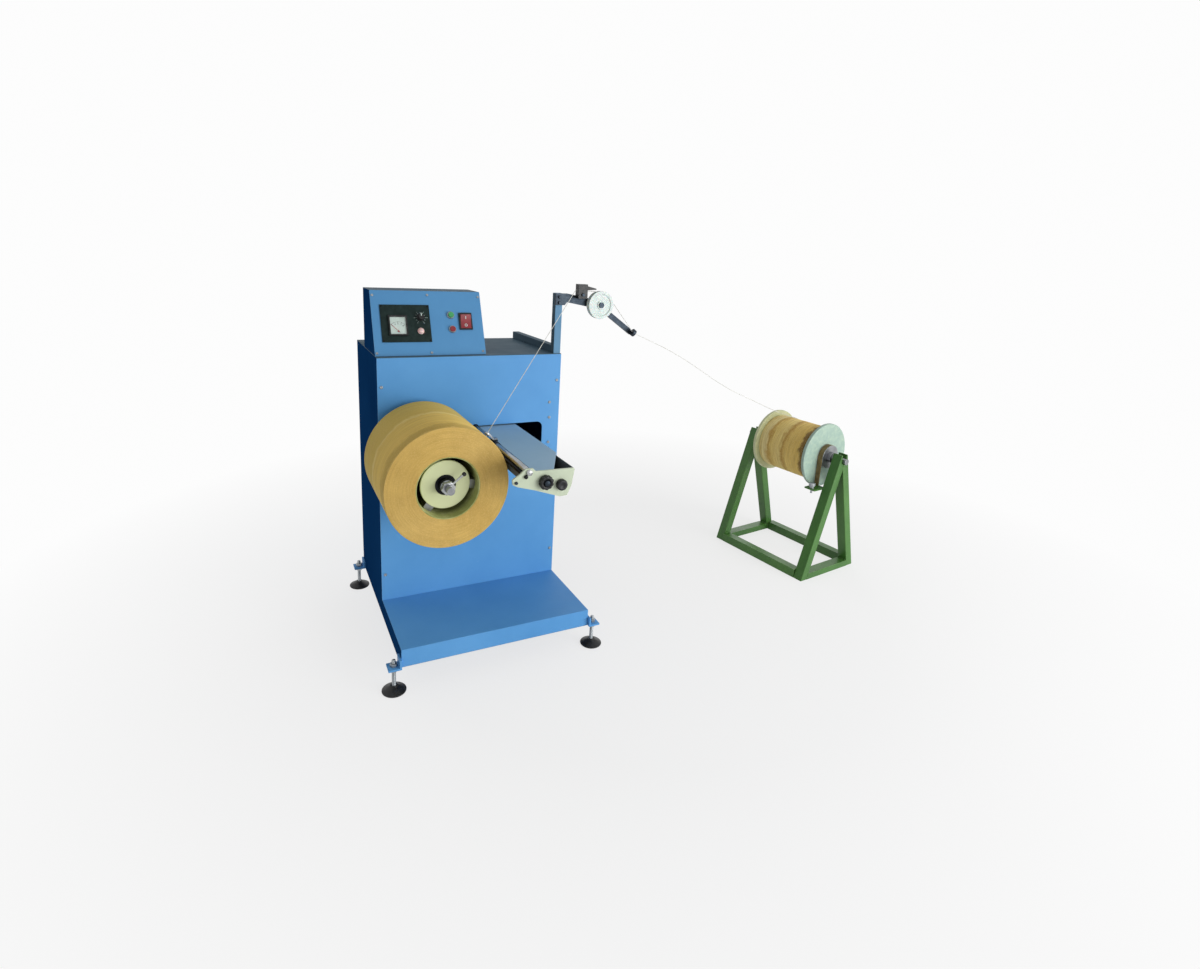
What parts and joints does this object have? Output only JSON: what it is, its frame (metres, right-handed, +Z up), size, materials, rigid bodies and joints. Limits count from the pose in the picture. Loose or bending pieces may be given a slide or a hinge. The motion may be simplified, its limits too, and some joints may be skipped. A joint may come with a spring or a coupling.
{
  "type": "wire coil winding machine",
  "caption": "Floor-standing wire coil winder: cabinet with control box, overhung mandrel and coil, covered traverse, wire guide mast, and an A-frame pay-off stand with its spool.",
  "frame": {"origin": "centre of the footprint of the machine and its stand, on the floor", "axes": "+X from the machine towards the pay-off stand, +Y from the front to the back, +Z up"},
  "size_m": [2.0114, 0.886, 1.154],
  "materials": {
    "cabinet_paint": "semi-gloss blue enamel",
    "cover_paint": "satin grey-blue enamel",
    "cream_paint": "pale cream-green enamel",
    "stand_paint": "semi-gloss green enamel",
    "dark_steel": "dark oiled steel",
    "bare_steel": "machined steel",
    "bright_steel": "polished hard chrome",
    "zinc_steel": "zinc-plated steel",
    "cast_iron": "painted cast iron",
    "bare_aluminium": "satin aluminium",
    "black_plastic": "satin black plastic",
    "panel_plastic": "satin dark grey plastic",
    "white_plastic": "white nylon",
    "cream_plastic": "pale grey-green moulded plastic",
    "green_plastic": "green plastic",
    "red_plastic": "red plastic",
    "window_glass": "clear glazing",
    "core_board": "plain wound board",
    "wound_wire": "lacquered wire",
    "belt_rubber": "matt rubber",
    "brake_leather": "oiled leather"
  },
  "bodies": {
    "root": {"base_plate": "cabinet_paint", "foot_lugs": "cabinet_paint", "foot_studs": "zinc_steel", "foot_pads": "black_plastic", "front_panel": "cabinet_paint", "side_panels": "cabinet_paint", "rear_cover": "cabinet_paint", "top_panel": "cabinet_paint", "panel_screws": "zinc_steel", "mast_frame": "cabinet_paint", "cable_gland": "black_plastic", "control_box_shell": "cabinet_paint", "control_face": "cabinet_paint", "instrument_plate": "panel_plastic", "meter_case": "black_plastic", "meter_window": "window_glass", "pilot_lamp": "green_plastic", "switch_housings": "black_plastic", "speed_drive": "bare_aluminium", "bearing_beams": "dark_steel", "spindle_bearings": "cast_iron", "motor": "cast_iron", "drive_belts": "belt_rubber", "traverse_channel": "dark_steel", "traverse_cover": "cover_paint", "traverse_end_plates": "cream_paint", "guide_bars": "bright_steel", "guide_arm": "dark_steel", "arm_bolts": "zinc_steel", "guide_block": "black_plastic", "guide_rod": "dark_steel", "supply_wire": "wound_wire", "stand_legs": "stand_paint", "stand_rails": "stand_paint", "brake_band": "brake_leather"},
    "spindle": {"spindle_shaft": "bare_steel", "mandrel": "bare_steel", "core_tube": "core_board", "wire_coil": "wound_wire", "rear_flange": "bare_steel", "clamp_disc": "cream_paint", "spindle_nut": "bare_steel", "spindle_pulleys": "cast_iron"},
    "rotor": {"motor_rotor": "bare_steel"},
    "screw": {"traverse_screw": "bright_steel", "screw_hand_knob": "black_plastic"},
    "carriage": {"traverse_carriage": "dark_steel", "wire_arm": "bare_steel", "coil_wire": "wound_wire"},
    "width_setter": {"width_knob": "black_plastic"},
    "guide_wheel": {"guide_pulley": "white_plastic"},
    "spool": {"spool_shaft": "bare_steel", "supply_spool": "cream_plastic", "supply_winding": "wound_wire"},
    "brake_hand_screw": {"brake_screw": "zinc_steel"},
    "needle": {"meter_needle": "red_plastic"},
    "dial": {"speed_knob": "black_plastic"},
    "start_cap": {"start_button": "green_plastic"},
    "stop_cap": {"stop_button": "red_plastic"},
    "rocker": {"rocker_switch": "red_plastic"}
  },
  "joints": [
    {"name": "spindle_spin", "type": "hinge", "parent": "root", "child": "spindle", "pos_m": [-0.82672, 0.039, 0.621], "axis": [0, 1, 0], "continuous": true},
    {"name": "motor_spin", "type": "hinge", "parent": "root", "child": "rotor", "pos_m": [-0.73572, 0.174, 0.226], "axis": [0, 1, 0], "continuous": true},
    {"name": "screw_spin", "type": "hinge", "parent": "root", "child": "screw", "pos_m": [-0.59972, 0.039, 0.6585], "axis": [0, 1, 0], "continuous": true},
    {"name": "traverse_slide", "type": "slide", "parent": "root", "child": "carriage", "axis": [0, 1, 0], "range_m": [-0.143, 0.152]},
    {"name": "width_knob_turn", "type": "hinge", "parent": "root", "child": "width_setter", "pos_m": [-0.55322, -0.421, 0.6465], "axis": [0, 1, 0], "continuous": true},
    {"name": "guide_pulley_spin", "type": "hinge", "parent": "root", "child": "guide_wheel", "pos_m": [-0.22192, 0.025, 1.087], "axis": [0, 1, 0], "continuous": true},
    {"name": "supply_spin", "type": "hinge", "parent": "root", "child": "spool", "pos_m": [0.80648, 0.0732, 0.49], "axis": [-0.1253, 0.9921, 0], "continuous": true},
    {"name": "brake_screw_turn", "type": "hinge", "parent": "root", "child": "brake_hand_screw", "pos_m": [0.73301, -0.11121, 0.372], "axis": [0, 0, 1], "continuous": true},
    {"name": "needle_swing", "type": "hinge", "parent": "root", "child": "needle", "pos_m": [-0.87572, 0.08869, 0.99546], "axis": [0, 0.9195, -0.393], "range_deg": [0, 90]},
    {"name": "speed_knob_turn", "type": "hinge", "parent": "root", "child": "dial", "pos_m": [-0.80472, 0.10927, 1.03342], "axis": [0, 0.9195, -0.393], "range_deg": [0, 300]},
    {"name": "start_button_press", "type": "slide", "parent": "root", "child": "start_cap", "axis": [0, 0.9195, -0.393], "range_m": [0, 0.003], "stiffness_N_per_m": 400},
    {"name": "stop_button_press", "type": "slide", "parent": "root", "child": "stop_cap", "axis": [0, 0.9195, -0.393], "range_m": [0, 0.003], "stiffness_N_per_m": 400},
    {"name": "rocker_tilt", "type": "hinge", "parent": "root", "child": "rocker", "pos_m": [-0.66222, 0.10475, 1.02285], "axis": [-1, 0, 0], "range_deg": [0, 18]}
  ],
  "couplings": [
    {"joint": "motor_spin", "follows": "spindle_spin", "ratio": 2.8788},
    {"joint": "screw_spin", "follows": "spindle_spin", "ratio": 1}
  ]
}
